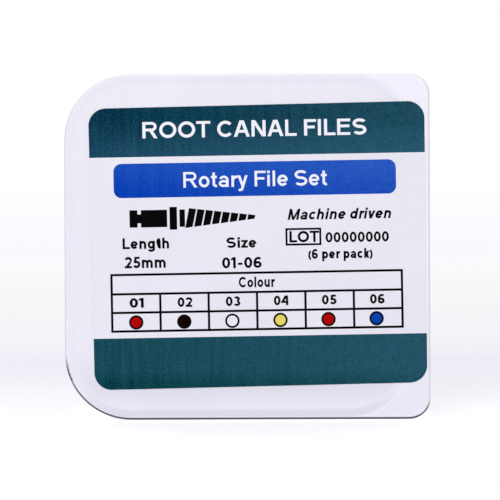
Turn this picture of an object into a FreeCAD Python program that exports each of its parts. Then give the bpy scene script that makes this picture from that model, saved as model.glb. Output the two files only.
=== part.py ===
import FreeCAD, Part
import math
import os
import Sketcher

# A flat hinged plastic pack that holds six engine-driven root canal files.
# Millimetres. X runs along the width, Y from the label side to the back, Z up.
# The origin is the middle of the bottom edge on which the closed pack stands.
# The lid faces -Y and turns about a vertical hinge beside the right wall.

FILE_COUNT = 6
RACK_POST_CORNERS = ((-1, -1), (1, -1), (1, 1), (-1, 1))
BLADE_CORNERS = 3
SECTION_TURN = 40.0

SIZES = {
    # Case
    "case_width": 74,
    "case_height": 70,
    "case_back": 5,
    "case_front": 4.9,
    "corner_radius": 13.5,
    "hinge_corner_radius": 4.2,
    "hinge_strip": 3.2,
    "parting_depth": 1,
    "skin": 1.2,
    "base_wall": 2.1,
    "rim_wall": 1.2,
    "lip_gap": 0.15,
    "lip_depth": 1.2,
    "back_edge_round": 1.2,
    "front_edge_round": 0.5,
    # Hinge: moulded pins of the lid turn in knuckles of the base
    "hinge_inset": 1.5,
    "barrel_radius": 1.4,
    "pin_radius": 0.6,
    "pin_gap": 0.05,
    "pin_length": 2,
    "lid_barrel": 11,
    "knuckle_length": 2.8,
    "knuckle_gap": 0.1,
    "knuckle_root": 0.7,
    "root_overlap": 0.3,
    "hinge_spread": 33,
    # Catch: a bead on the lip that sits in a groove of the rim, and a scoop for the thumb
    "bead_radius": 0.35,
    "bead_reach": 0.12,
    "bead_length": 16,
    "scoop_radius": 9,
    "scoop_bite": 1.3,
    "scoop_depth": 2.2,
    # Label
    "label_width": 67.6,
    "label_height": 56.9,
    "label_radius": 3.5,
    "label_paper": 0.1,
    "label_shift": 2.3,
    "label_lift": 0.2,
    "label_tilt": 1.2,
    # Rack
    "rack_inset": 6,
    "rack_sheet": 0.9,
    "rack_height": 3.5,
    "rib_width": 0.8,
    "rib_height": 1.5,
    "bar_width": 1.2,
    "file_pitch": 9.8,
    "clip_width": 4.4,
    "clip_length": 1.9,
    "clip_mouth": 1.9,
    "clip_root": 0.25,
    "low_clip": 19.9,
    "high_clip": 24,
    "ledge_gap": 0.1,
    "tip_gap": 1,
    "post_radius": 1.2,
    "post_gap": 0.1,
    "post_head_radius": 2,
    "post_head": 0.5,
    "post_inset": 4,
    # Files
    "file_foot": 16,
    "file_depth": 0.6,
    "shank_radius": 1.175,
    "shank_length": 13,
    "shank_edge": 0.25,
    "fit_gap": 0.02,
    "clip_gap": 0.05,
    "groove_start": 1.3,
    "groove_width": 1,
    "groove_radius": 0.8,
    "flat_height": 4,
    "flat_offset": 0.6,
    "collar_radius": 1.6,
    "collar_height": 0.8,
    "ring_radius": 1.55,
    "ring_height": 2,
    "root_length": 3.4,
    "root_gap": 0.1,
    "blade_length": 25,
    "blade_radius": 0.6,
    "flute_length": 16,
    "flute_radius": 0.575,
    "tip_pitch": 1.8,
    "shaft_pitch": 4,
    "stop_radius": 1.6,
    "stop_height": 1.5,
    "stop_gap": 0.05,
    "stop_notch": 0.45,
    # Tip diameter of each file
    "tip_1": 0.19,
    "tip_2": 0.18,
    "tip_3": 0.2,
    "tip_4": 0.2,
    "tip_5": 0.25,
    "tip_6": 0.3,
}

doc = FreeCAD.newDocument("file_pack")
sheet = doc.addObject("Spreadsheet::Sheet", "Sizes")
for row, (alias, size) in enumerate(SIZES.items(), start=1):
    sheet.set(f"A{row}", alias)
    sheet.set(f"B{row}", str(size))
    sheet.setAlias(f"B{row}", alias)
doc.recompute()

# Places worked out from the sheet, as expressions
LEFT = "(-Sizes.case_width / 2)"
RIGHT = "(Sizes.case_width / 2)"
WALL_RIGHT = "(Sizes.case_width / 2 - Sizes.hinge_strip)"
HINGE_X = "(Sizes.case_width / 2 - Sizes.hinge_inset)"
HINGE_Y = "(-Sizes.parting_depth)"
MIDDLE_X = "(-Sizes.hinge_strip / 2)"
MIDDLE_Z = "(Sizes.case_height / 2)"
LID_INSIDE = "(-Sizes.case_front + Sizes.skin)"
FLOOR = "(Sizes.case_back - Sizes.skin)"
RACK_TOP = "(Sizes.case_back - Sizes.skin - Sizes.rack_sheet)"
BLADE_FOOT = "(Sizes.file_foot + Sizes.shank_length)"
TIP = "(Sizes.file_foot + Sizes.shank_length + Sizes.blade_length)"
BEAD_X = f"({LEFT} + Sizes.rim_wall + Sizes.lip_gap - Sizes.bead_reach + Sizes.bead_radius)"
BEAD_Y = f"({HINGE_Y} - Sizes.lip_depth / 2)"
BEAD_FOOT = f"({MIDDLE_Z} - Sizes.bead_length / 2)"
STATIONS = (
    "(Sizes.case_height / 2 - Sizes.hinge_spread / 2)",
    "(Sizes.case_height / 2 + Sizes.hinge_spread / 2)",
)


def number(expression):
    """The value of an expression, in millimetres."""
    result = sheet.evalExpression(expression)
    return float(getattr(result, "Value", result))


def file_x(index):
    """The expression for the X of one file's axis."""
    return f"({MIDDLE_X} + {index - (FILE_COUNT - 1) / 2} * Sizes.file_pitch)"


# Sketch helpers. A sketch on the XZ plane looks along +Y, so its pads grow towards -Y.


def new_body(label):
    body = doc.addObject("PartDesign::Body", label)
    body.Label = label
    return body


def new_sketch(body, name, role, offset):
    """A sketch parallel to one of the body's origin planes."""
    sketch = body.newObject("Sketcher::SketchObject", name)
    plane = next(f for f in body.Origin.OriginFeatures if f.Role == role)
    sketch.AttachmentSupport = [(plane, "")]
    sketch.MapMode = "FlatFace"
    sketch.setExpression("AttachmentOffset.Base.z", offset)
    return sketch


def bind(sketch, kind, *where_and_expression):
    """Adds a dimension and drives it by an expression."""
    *where, expression = where_and_expression
    index = sketch.addConstraint(Sketcher.Constraint(kind, *where, number(expression)))
    sketch.setExpression(f"Constraints[{index}]", expression)


def pin_point(sketch, geometry, end, x, y):
    """Fixes one end of a sketch line or arc, measured from the sketch's origin."""
    bind(sketch, "DistanceX", -1, 1, geometry, end, x)
    bind(sketch, "DistanceY", -1, 1, geometry, end, y)


def vector(x, y):
    return FreeCAD.Vector(number(x), number(y), 0)


def polygon(sketch, corners):
    """Closed straight outline through corners given as pairs of expressions."""
    first = sketch.GeometryCount
    count = len(corners)
    for index, corner in enumerate(corners):
        following = corners[(index + 1) % count]
        sketch.addGeometry(Part.LineSegment(vector(*corner), vector(*following)))
    for index in range(count):
        following = first + (index + 1) % count
        sketch.addConstraint(Sketcher.Constraint("Coincident", first + index, 2, following, 1))
    for index, corner in enumerate(corners):
        pin_point(sketch, first + index, 1, *corner)


def rectangle(sketch, left, right, bottom, top):
    polygon(sketch, [(left, bottom), (right, bottom), (right, top), (left, top)])


def circle(sketch, x, y, radius):
    index = sketch.addGeometry(Part.Circle(vector(x, y), FreeCAD.Vector(0, 0, 1), number(radius)))
    pin_point(sketch, index, 3, x, y)
    bind(sketch, "Radius", index, radius)


def rounded_outline(sketch, left, right, bottom, top, left_radius, right_radius):
    """A rectangle with one radius for its two left corners and one for its two right ones."""
    first = sketch.GeometryCount
    corners = [
        (right, bottom, right_radius, -1, 1, -90),
        (right, top, right_radius, -1, -1, 0),
        (left, top, left_radius, 1, -1, 90),
        (left, bottom, left_radius, 1, 1, 180),
    ]
    arcs = []
    for x, y, radius, inward_x, inward_y, start in corners:
        size = number(radius)
        centre = vector(x, y) + FreeCAD.Vector(inward_x * size, inward_y * size, 0)
        ring = Part.Circle(centre, FreeCAD.Vector(0, 0, 1), size)
        arcs.append(Part.ArcOfCircle(ring, math.radians(start), math.radians(start + 90)))
    for index, arc in enumerate(arcs):
        before = arcs[index - 1]
        sketch.addGeometry(Part.LineSegment(before.EndPoint, arc.StartPoint))
        sketch.addGeometry(arc)
    for index in range(8):
        following = first + (index + 1) % 8
        sketch.addConstraint(Sketcher.Constraint("Tangent", first + index, 2, following, 1))
    for index, kind in enumerate(("Horizontal", "Vertical", "Horizontal", "Vertical")):
        sketch.addConstraint(Sketcher.Constraint(kind, first + 2 * index))
        bind(sketch, "Radius", first + 2 * index + 1, corners[index][2])
    bind(sketch, "DistanceY", -1, 1, first, 1, bottom)
    bind(sketch, "DistanceX", -1, 1, first + 2, 1, right)
    bind(sketch, "DistanceY", -1, 1, first + 4, 1, top)
    bind(sketch, "DistanceX", -1, 1, first + 6, 1, left)


def wall_outline(sketch, inset):
    """The tray's outline, moved inwards by an inset."""
    radius = f"Sizes.corner_radius - {inset}"
    rounded_outline(
        sketch,
        f"{LEFT} + {inset}",
        f"{WALL_RIGHT} - {inset}",
        inset,
        f"Sizes.case_height - {inset}",
        radius,
        radius,
    )


def hook_outline(sketch, root_x, root_y, foot_x, foot_y, barrel_ends):
    """A hinge lug in section: three straight sides and three quarters of the barrel's circle."""
    centre = vector(HINGE_X, HINGE_Y)
    ring = Part.Circle(centre, FreeCAD.Vector(0, 0, 1), number("Sizes.barrel_radius"))
    start, end = barrel_ends
    arc = sketch.addGeometry(Part.ArcOfCircle(ring, math.radians(start), math.radians(end)))
    barrel = sketch.Geometry[arc]
    root = vector(root_x, root_y)
    foot = vector(foot_x, foot_y)
    first = sketch.addGeometry(Part.LineSegment(barrel.EndPoint, root))
    second = sketch.addGeometry(Part.LineSegment(root, foot))
    third = sketch.addGeometry(Part.LineSegment(foot, barrel.StartPoint))
    loop = (arc, first, second, third)
    for index, piece in enumerate(loop):
        following = loop[(index + 1) % len(loop)]
        sketch.addConstraint(Sketcher.Constraint("Coincident", piece, 2, following, 1))
    pin_point(sketch, arc, 3, HINGE_X, HINGE_Y)
    bind(sketch, "Radius", arc, "Sizes.barrel_radius")
    pin_point(sketch, second, 1, root_x, root_y)
    pin_point(sketch, second, 2, foot_x, foot_y)
    return arc, first, third


def pad(body, sketch, length):
    feature = body.newObject("PartDesign::Pad", f"{sketch.Name}_pad")
    feature.Profile = sketch
    feature.setExpression("Length", length)
    return feature


def pocket(body, sketch, length, reverse=False):
    """Cuts a sketch into the body and checks that something was cut."""
    doc.recompute()
    before = body.Shape.Volume
    feature = body.newObject("PartDesign::Pocket", f"{sketch.Name}_cut")
    feature.Profile = sketch
    feature.Reversed = reverse
    feature.setExpression("Length", length)
    doc.recompute()
    if body.Shape.Volume > before - 1e-6:
        raise RuntimeError(f"{feature.Name} cuts nothing")
    return feature


def round_face_edges(body, feature, y, radius):
    """Rounds the edges of the face that lies at one Y."""
    doc.recompute()
    level = number(y)
    names = []
    for index, edge in enumerate(feature.Shape.Edges, start=1):
        box = edge.BoundBox
        if abs(box.YMin - level) < 1e-3 and abs(box.YMax - level) < 1e-3:
            names.append(f"Edge{index}")
    rounding = body.newObject("PartDesign::Fillet", f"{feature.Name}_round")
    rounding.Base = (feature, names)
    rounding.setExpression("Radius", radius)
    return rounding


# Case base: tray, lip, hinge knuckles, catch bead, thumb scoop and rack posts


def post_places(inset):
    """The four rack posts, as pairs of expressions."""
    half_x = f"((Sizes.case_width - Sizes.hinge_strip) / 2 - Sizes.rack_inset - {inset})"
    half_z = f"(Sizes.case_height / 2 - Sizes.rack_inset - {inset})"
    for side, level in RACK_POST_CORNERS:
        yield f"{MIDDLE_X} + {side} * {half_x}", f"{MIDDLE_Z} + {level} * {half_z}"


def knuckle_feet():
    """The lower end of each base knuckle, two beside each lid barrel."""
    half = "(Sizes.lid_barrel / 2 + Sizes.knuckle_gap)"
    for station in STATIONS:
        yield f"{station} - {half} - Sizes.knuckle_length"
        yield f"{station} + {half}"


def make_case_base():
    body = new_body("case_base")
    outline = new_sketch(body, "base_outline", "XZ_Plane", "-Sizes.case_back")
    wall_outline(outline, "0")
    block = pad(body, outline, "Sizes.case_back + Sizes.parting_depth")
    round_face_edges(body, block, "Sizes.case_back", "Sizes.back_edge_round")

    cavity = new_sketch(body, "base_cavity", "XZ_Plane", "Sizes.parting_depth")
    wall_outline(cavity, "Sizes.base_wall")
    pocket(body, cavity, f"Sizes.parting_depth + {FLOOR}")

    lip = new_sketch(body, "base_lip", "XZ_Plane", "Sizes.parting_depth")
    wall_outline(lip, "(Sizes.rim_wall + Sizes.lip_gap)")
    wall_outline(lip, "Sizes.base_wall")
    pad(body, lip, "Sizes.lip_depth")

    for index, foot in enumerate(knuckle_feet()):
        lug = new_sketch(body, f"base_knuckle_{index + 1}", "XY_Plane", foot)
        inside = f"{WALL_RIGHT} - Sizes.knuckle_root"
        top = f"{HINGE_Y} + Sizes.barrel_radius"
        hook_outline(lug, inside, top, inside, HINGE_Y, (-180, 90))
        pad(body, lug, "Sizes.knuckle_length")
    for index, foot in enumerate(knuckle_feet()):
        socket = new_sketch(body, f"pin_socket_{index + 1}", "XY_Plane", foot)
        circle(socket, HINGE_X, HINGE_Y, "Sizes.pin_radius + Sizes.pin_gap")
        pocket(body, socket, "Sizes.knuckle_length", reverse=True)

    bead = new_sketch(body, "catch_bead", "XY_Plane", BEAD_FOOT)
    circle(bead, BEAD_X, BEAD_Y, "Sizes.bead_radius")
    pad(body, bead, "Sizes.bead_length")

    scoop = new_sketch(body, "thumb_scoop", "XZ_Plane", "Sizes.parting_depth")
    centre = f"{LEFT} - Sizes.scoop_radius + Sizes.scoop_bite"
    circle(scoop, centre, MIDDLE_Z, "Sizes.scoop_radius")
    pocket(body, scoop, "Sizes.scoop_depth")

    seat = f"-{RACK_TOP} + Sizes.fit_gap"
    for index, (x, z) in enumerate(post_places("Sizes.post_inset")):
        post = new_sketch(body, f"rack_post_{index + 1}", "XZ_Plane", f"-{FLOOR}")
        circle(post, x, z, "Sizes.post_radius")
        pad(body, post, "Sizes.rack_sheet + Sizes.fit_gap")
        head = new_sketch(body, f"post_head_{index + 1}", "XZ_Plane", seat)
        circle(head, x, z, "Sizes.post_head_radius")
        pad(body, head, "Sizes.post_head")
    return body


# Case lid: front plate, rim, hinge barrels with their pins, and the groove of the catch


def make_case_lid():
    body = new_body("case_lid")
    outline = new_sketch(body, "plate_outline", "XZ_Plane", f"-{LID_INSIDE}")
    rounded_outline(
        outline,
        LEFT,
        RIGHT,
        "0",
        "Sizes.case_height",
        "Sizes.corner_radius",
        "Sizes.hinge_corner_radius",
    )
    plate = pad(body, outline, "Sizes.skin")
    round_face_edges(body, plate, "-Sizes.case_front", "Sizes.front_edge_round")

    rim = new_sketch(body, "lid_rim", "XZ_Plane", "Sizes.parting_depth")
    wall_outline(rim, "0")
    wall_outline(rim, "Sizes.rim_wall")
    pad(body, rim, f"-{LID_INSIDE} - Sizes.parting_depth")

    for index, station in enumerate(STATIONS):
        barrel_foot = f"{station} - Sizes.lid_barrel / 2"
        lug = new_sketch(body, f"lid_barrel_{index + 1}", "XY_Plane", barrel_foot)
        root = f"{LID_INSIDE} - Sizes.root_overlap"
        hook_outline(
            lug,
            f"{HINGE_X} - Sizes.barrel_radius",
            root,
            f"{HINGE_X} + Sizes.barrel_radius",
            root,
            (0, 180),
        )
        pad(body, lug, "Sizes.lid_barrel")
        reach = "(Sizes.lid_barrel / 2 + Sizes.pin_length)"
        pin = new_sketch(body, f"hinge_pin_{index + 1}", "XY_Plane", f"{station} - {reach}")
        circle(pin, HINGE_X, HINGE_Y, "Sizes.pin_radius")
        pad(body, pin, f"2 * {reach}")

    groove = new_sketch(body, "catch_groove", "XY_Plane", f"{BEAD_FOOT} - Sizes.lip_gap")
    circle(groove, BEAD_X, BEAD_Y, "Sizes.bead_radius + Sizes.lip_gap")
    pocket(body, groove, "Sizes.bead_length + 2 * Sizes.lip_gap", reverse=True)
    return body


# Front label: a paper rectangle stuck on the lid slightly askew


def make_front_label():
    body = new_body("front_label")
    outline = new_sketch(body, "label_outline", "XZ_Plane", "0")
    rounded_outline(
        outline,
        "-Sizes.label_width / 2",
        "Sizes.label_width / 2",
        "-Sizes.label_height / 2",
        "Sizes.label_height / 2",
        "Sizes.label_radius",
        "Sizes.label_radius",
    )
    pad(body, outline, "Sizes.label_paper")
    place = FreeCAD.Vector(
        number("Sizes.label_shift"),
        number("-Sizes.case_front"),
        number(f"{MIDDLE_Z} + Sizes.label_lift"),
    )
    tilt = FreeCAD.Rotation(FreeCAD.Vector(0, -1, 0), number("Sizes.label_tilt"))
    body.Placement = FreeCAD.Placement(place, tilt)
    body.setExpression("Placement.Base.x", "Sizes.label_shift")
    body.setExpression("Placement.Base.y", "-Sizes.case_front")
    body.setExpression("Placement.Base.z", f"{MIDDLE_Z} + Sizes.label_lift")
    return body


# File rack: a moulded sheet with ledge, ribs, tip guard and two clips for each file


def bar(body, name, bottom, top):
    """A cross bar of the rack between two heights."""
    half = f"(Sizes.file_pitch * {FILE_COUNT / 2} + Sizes.rib_width / 2)"
    sketch = new_sketch(body, name, "XZ_Plane", f"-{RACK_TOP}")
    rectangle(sketch, f"{MIDDLE_X} - {half}", f"{MIDDLE_X} + {half}", bottom, top)
    pad(body, sketch, "Sizes.rack_height")


def clip_outline(sketch, x):
    """A snap clip in section: a block with a round seat that closes a little past its middle."""
    bore = "(Sizes.shank_radius + Sizes.clip_gap)"
    mouth = "(Sizes.clip_mouth / 2)"
    crest = f"(Sizes.file_depth - sqrt({bore} ^ 2 - {mouth} ^ 2))"
    root = f"{RACK_TOP} + Sizes.clip_root"
    half = "(Sizes.clip_width / 2)"
    corners = [
        (f"{x} + {mouth}", crest),
        (f"{x} + {half}", crest),
        (f"{x} + {half}", root),
        (f"{x} - {half}", root),
        (f"{x} - {half}", crest),
        (f"{x} - {mouth}", crest),
    ]
    lines = []
    for start, end in zip(corners, corners[1:]):
        lines.append(sketch.addGeometry(Part.LineSegment(vector(*start), vector(*end))))
    seat = Part.Circle(vector(x, "Sizes.file_depth"), FreeCAD.Vector(0, 0, 1), number(bore))
    opening = math.asin(number(mouth) / number(bore))
    half_turn = math.pi / 2
    arc = sketch.addGeometry(
        Part.ArcOfCircle(seat, opening - half_turn, 3 * half_turn - opening)
    )
    for index, line in enumerate(lines[:-1]):
        sketch.addConstraint(Sketcher.Constraint("Coincident", line, 2, lines[index + 1], 1))
    sketch.addConstraint(Sketcher.Constraint("Coincident", lines[0], 1, arc, 1))
    sketch.addConstraint(Sketcher.Constraint("Coincident", lines[-1], 2, arc, 2))
    for line, corner in zip(lines, corners):
        pin_point(sketch, line, 1, *corner)
    pin_point(sketch, arc, 3, x, "Sizes.file_depth")
    bind(sketch, "DistanceX", -1, 1, arc, 2, corners[-1][0])


def make_file_rack():
    body = new_body("file_rack")
    outline = new_sketch(body, "rack_outline", "XZ_Plane", f"-{FLOOR}")
    wall_outline(outline, "Sizes.rack_inset")
    for x, z in post_places("Sizes.post_inset"):
        circle(outline, x, z, "Sizes.post_radius + Sizes.post_gap")
    pad(body, outline, "Sizes.rack_sheet")

    ledge_top = "Sizes.file_foot - Sizes.ledge_gap"
    guard_foot = f"{TIP} + Sizes.tip_gap"
    bar(body, "foot_ledge", f"{ledge_top} - Sizes.bar_width", ledge_top)
    bar(body, "tip_guard", guard_foot, f"{guard_foot} + Sizes.bar_width")

    for index in range(FILE_COUNT + 1):
        middle = f"({MIDDLE_X} + {index - FILE_COUNT / 2} * Sizes.file_pitch)"
        rib = new_sketch(body, f"rib_{index + 1}", "XZ_Plane", f"-{RACK_TOP}")
        rectangle(
            rib,
            f"{middle} - Sizes.rib_width / 2",
            f"{middle} + Sizes.rib_width / 2",
            f"{ledge_top} - Sizes.bar_width / 2",
            f"{guard_foot} + Sizes.bar_width / 2",
        )
        pad(body, rib, "Sizes.rib_height")

    for level in ("low_clip", "high_clip"):
        for index in range(FILE_COUNT):
            clip = new_sketch(body, f"{level}_{index + 1}", "XY_Plane", f"Sizes.{level}")
            clip_outline(clip, file_x(index))
            pad(body, clip, "Sizes.clip_length")
    return body


# Files. Each is a brass latch shank with a colour ring and a twisted blade, and carries a stop.


def place_on_axis(piece, index, height):
    """Puts a piece that was made about the Z axis on one file's axis."""
    piece.setExpression("Placement.Base.x", file_x(index))
    piece.setExpression("Placement.Base.y", "Sizes.file_depth")
    piece.setExpression("Placement.Base.z", height)


def make_shank(index):
    label = f"file_{index + 1}_shank"
    body = new_body(label)
    profile = new_sketch(body, f"shank_profile_{index + 1}", "XZ_Plane", "0")
    seat = "Sizes.shank_length - Sizes.root_length - Sizes.root_gap"
    bore = "Sizes.blade_radius + Sizes.fit_gap"
    groove_end = "Sizes.groove_start + Sizes.groove_width"
    collar = "Sizes.shank_length - Sizes.collar_height"
    polygon(
        profile,
        [
            ("0", "0"),
            ("Sizes.shank_radius - Sizes.shank_edge", "0"),
            ("Sizes.shank_radius", "Sizes.shank_edge"),
            ("Sizes.shank_radius", "Sizes.groove_start"),
            ("Sizes.groove_radius", "Sizes.groove_start"),
            ("Sizes.groove_radius", groove_end),
            ("Sizes.shank_radius", groove_end),
            ("Sizes.shank_radius", collar),
            ("Sizes.collar_radius", collar),
            ("Sizes.collar_radius", "Sizes.shank_length - Sizes.shank_edge"),
            ("Sizes.collar_radius - Sizes.shank_edge", "Sizes.shank_length"),
            (bore, "Sizes.shank_length"),
            (bore, seat),
            ("0", seat),
        ],
    )
    turned = body.newObject("PartDesign::Revolution", f"shank_turned_{index + 1}")
    turned.Profile = profile
    turned.ReferenceAxis = (profile, ["V_Axis"])
    turned.Angle = 360

    flat = new_sketch(body, f"drive_flat_{index + 1}", "XY_Plane", "0")
    reach = "2 * Sizes.shank_radius"
    rectangle(flat, f"-{reach}", reach, f"-{reach}", "-Sizes.flat_offset")
    pocket(body, flat, "Sizes.flat_height", reverse=True)
    place_on_axis(body, index, "Sizes.file_foot")
    return body


def tube(label, radius, bore, height):
    """A plain ring made about the Z axis, as a cut of two cylinders."""
    outer = doc.addObject("Part::Cylinder", f"{label}_outer")
    outer.setExpression("Radius", radius)
    outer.setExpression("Height", height)
    inner = doc.addObject("Part::Cylinder", f"{label}_bore")
    inner.setExpression("Radius", bore)
    inner.setExpression("Height", height)
    ring = doc.addObject("Part::Cut", label)
    ring.Base = outer
    ring.Tool = inner
    return ring


def make_ring(index):
    label = f"file_{index + 1}_ring"
    ring = tube(label, "Sizes.ring_radius", "Sizes.shank_radius + Sizes.fit_gap", "Sizes.ring_height")
    ring.Label = label
    below = "Sizes.collar_height + Sizes.ring_height + Sizes.fit_gap"
    place_on_axis(ring, index, f"{BLADE_FOOT} - ({below})")
    return ring


def make_stop(index):
    label = f"file_{index + 1}_stop"
    washer = tube(
        f"stop_washer_{index + 1}",
        "Sizes.stop_radius",
        "Sizes.blade_radius + Sizes.stop_gap",
        "Sizes.stop_height",
    )
    notch = doc.addObject("Part::Cylinder", f"stop_mark_{index + 1}")
    notch.setExpression("Radius", "Sizes.stop_notch")
    notch.setExpression("Height", "Sizes.stop_height")
    notch.setExpression("Placement.Base.y", "-Sizes.stop_radius")
    stop = doc.addObject("Part::Cut", label)
    stop.Label = label
    stop.Base = washer
    stop.Tool = notch
    place_on_axis(stop, index, f"{BLADE_FOOT} + Sizes.stop_gap")
    return stop


def flute_section(height, turn, radius):
    """The triangular section of a blade at one height, turned about the axis."""
    points = []
    for corner in range(BLADE_CORNERS):
        angle = math.radians(turn + 360 * corner / BLADE_CORNERS)
        points.append(FreeCAD.Vector(radius * math.cos(angle), radius * math.sin(angle), height))
    return Part.makePolygon(points + points[:1])


def make_blade(index):
    """A wire root and shaft, and a triangular tapered blade whose twist tightens to the tip."""
    label = f"file_{index + 1}_blade"
    length = number("Sizes.blade_length")
    fluted = number("Sizes.flute_length")
    start_radius = number("Sizes.flute_radius")
    tip_radius = number(f"Sizes.tip_{index + 1}") / 2
    tip_pitch = number("Sizes.tip_pitch")
    growth = (number("Sizes.shaft_pitch") - tip_pitch) / fluted
    whole_turn = 360 / growth * math.log(1 + growth * fluted / tip_pitch)
    count = round(whole_turn / SECTION_TURN)
    sections = []
    for step in range(count + 1):
        turn = whole_turn * step / count
        from_tip = tip_pitch / growth * (math.exp(turn * growth / 360) - 1)
        radius = tip_radius + (start_radius - tip_radius) * from_tip / fluted
        sections.append(flute_section(length - from_tip, -turn, radius))
    flutes = Part.makeLoft(sections, True, True)
    root = number("Sizes.root_length")
    shaft = Part.makeCylinder(
        number("Sizes.blade_radius"), root + length - fluted, FreeCAD.Vector(0, 0, -root)
    )
    blade = doc.addObject("Part::Feature", label)
    blade.Label = label
    blade.Shape = shaft.fuse(flutes).removeSplitter()
    place_on_axis(blade, index, BLADE_FOOT)
    return blade


subparts = [make_case_base(), make_case_lid(), make_front_label(), make_file_rack()]
for file_index in range(FILE_COUNT):
    subparts.append(make_shank(file_index))
    subparts.append(make_ring(file_index))
    subparts.append(make_blade(file_index))
    subparts.append(make_stop(file_index))

doc.recompute()
failed = [item.Name for item in doc.Objects if {"Invalid", "Error"} & set(item.State)]
for piece in subparts:
    if piece.Shape.isNull() or not piece.Shape.isValid() or len(piece.Shape.Solids) != 1:
        failed.append(piece.Label)
if failed:
    raise RuntimeError(f"failed: {failed}")

os.makedirs("parts", exist_ok=True)
for piece in subparts:
    piece.Shape.exportStep(f"parts/{piece.Label}.step")
    print(f"{piece.Label}: {piece.Shape.Volume:.1f} mm3")
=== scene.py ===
import bpy
import math
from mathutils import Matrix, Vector
from mathutils.geometry import delaunay_2d_cdt


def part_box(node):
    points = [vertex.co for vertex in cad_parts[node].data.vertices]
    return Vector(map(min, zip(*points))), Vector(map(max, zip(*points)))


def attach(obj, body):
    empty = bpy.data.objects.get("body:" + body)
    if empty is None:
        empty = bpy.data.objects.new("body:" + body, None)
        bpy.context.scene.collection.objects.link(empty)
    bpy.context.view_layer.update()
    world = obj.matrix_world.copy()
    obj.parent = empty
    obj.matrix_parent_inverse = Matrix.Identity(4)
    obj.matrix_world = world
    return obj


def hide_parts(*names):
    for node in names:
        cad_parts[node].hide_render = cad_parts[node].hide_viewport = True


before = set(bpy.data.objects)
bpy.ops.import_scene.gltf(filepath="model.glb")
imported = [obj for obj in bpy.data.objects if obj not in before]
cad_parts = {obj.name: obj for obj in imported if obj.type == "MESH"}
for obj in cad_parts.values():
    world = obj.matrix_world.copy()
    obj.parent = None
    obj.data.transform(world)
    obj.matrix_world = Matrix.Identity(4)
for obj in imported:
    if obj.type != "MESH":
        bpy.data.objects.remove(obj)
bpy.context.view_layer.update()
MM = 0.001
FILE_COUNT = 6

# The label stands in the row frame at its CAD node's place. Its print was laid down at a tilt of its own.
LABEL_LOW, LABEL_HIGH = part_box("front_label")
LABEL_CENTRE = (LABEL_LOW + LABEL_HIGH) / 2
LABEL_WIDTH = 67.6 * MM
LABEL_HEIGHT = 56.9 * MM
LABEL_RADIUS = 3.5 * MM
LABEL_TILT = math.radians(1.2)
LABEL_SKEW = 0.013
PRINT_TILT = math.radians(0.8)
PLATE_FRONT = LABEL_HIGH.y
BASE_LOW, BASE_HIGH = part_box("case_base")
BLADE_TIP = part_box("file_1_blade")[1].z
DEPTH_MARKS = (18 * MM, 20 * MM, 22 * MM)
TRAY_HALF = 35.4 * MM
CORNER_RADIUS = 13.5 * MM
BAND_EDGE = 18.3
PAPER_FRONT = PLATE_FRONT - 0.06 * MM
INK = 0.01 * MM


def srgb(red, green, blue):
    """A display colour, 0 to 255, as the linear colour that shaders use."""
    linear = []
    for channel in (red, green, blue):
        value = channel / 255
        linear.append(value / 12.92 if value <= 0.04045 else ((value + 0.055) / 1.055) ** 2.4)
    return (*linear, 1.0)


# Materials


class Nodes:
    """A shader node tree. Sockets and numbers are passed by input name."""

    def __init__(self, tree, coordinates):
        self.tree = tree
        self.coordinates = tree.nodes.new("ShaderNodeTexCoord")
        self.place = self.coordinates.outputs[coordinates]

    def fill(self, node, inputs):
        for key, value in inputs.items():
            socket = node.inputs[key]
            if isinstance(value, bpy.types.NodeSocket):
                self.tree.links.new(value, socket)
            else:
                socket.default_value = value
        return node

    def node(self, kind, inputs=None, **settings):
        node = self.tree.nodes.new(kind)
        for key, value in settings.items():
            setattr(node, key, value)
        return self.fill(node, inputs or {})

    def math(self, operation, first, second=0.0, clamp=False):
        node = self.node("ShaderNodeMath", {0: first, 1: second}, operation=operation, use_clamp=clamp)
        return node.outputs[0]

    def ramp(self, value, low, high, to_low=0.0, to_high=1.0, kind="LINEAR"):
        """value mapped from one range to another and held at its ends."""
        inputs = {"Value": value, "From Min": low, "From Max": high, "To Min": to_low, "To Max": to_high}
        return self.node("ShaderNodeMapRange", inputs, interpolation_type=kind).outputs["Result"]

    def mix(self, factor, first, second, blend_type="MIX"):
        node = self.node("ShaderNodeMix", data_type="RGBA", blend_type=blend_type)
        self.fill(node, {0: factor, 6: first, 7: second})
        return node.outputs[2]

    def stretched(self, x, y, z):
        """The object's coordinates, multiplied along each axis."""
        return self.node("ShaderNodeMapping", {"Vector": self.place, "Scale": (x, y, z)}).outputs[0]

    def noise(self, scale, detail=2.0, vector=None):
        inputs = {"Vector": vector or self.place, "Scale": scale, "Detail": detail}
        return self.node("ShaderNodeTexNoise", inputs).outputs["Fac"]

    def bump(self, height, strength, distance, edge=0.0):
        """A bumped normal. edge is the radius that softens the look of sharp edges."""
        inputs = {"Height": height, "Strength": strength, "Distance": distance}
        if edge:
            inputs["Normal"] = self.node("ShaderNodeBevel", {"Radius": edge}, samples=4).outputs["Normal"]
        return self.node("ShaderNodeBump", inputs).outputs["Normal"]

    def axis(self, index, vector=None):
        split = self.node("ShaderNodeSeparateXYZ", {"Vector": vector or self.place})
        return split.outputs[index]


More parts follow.
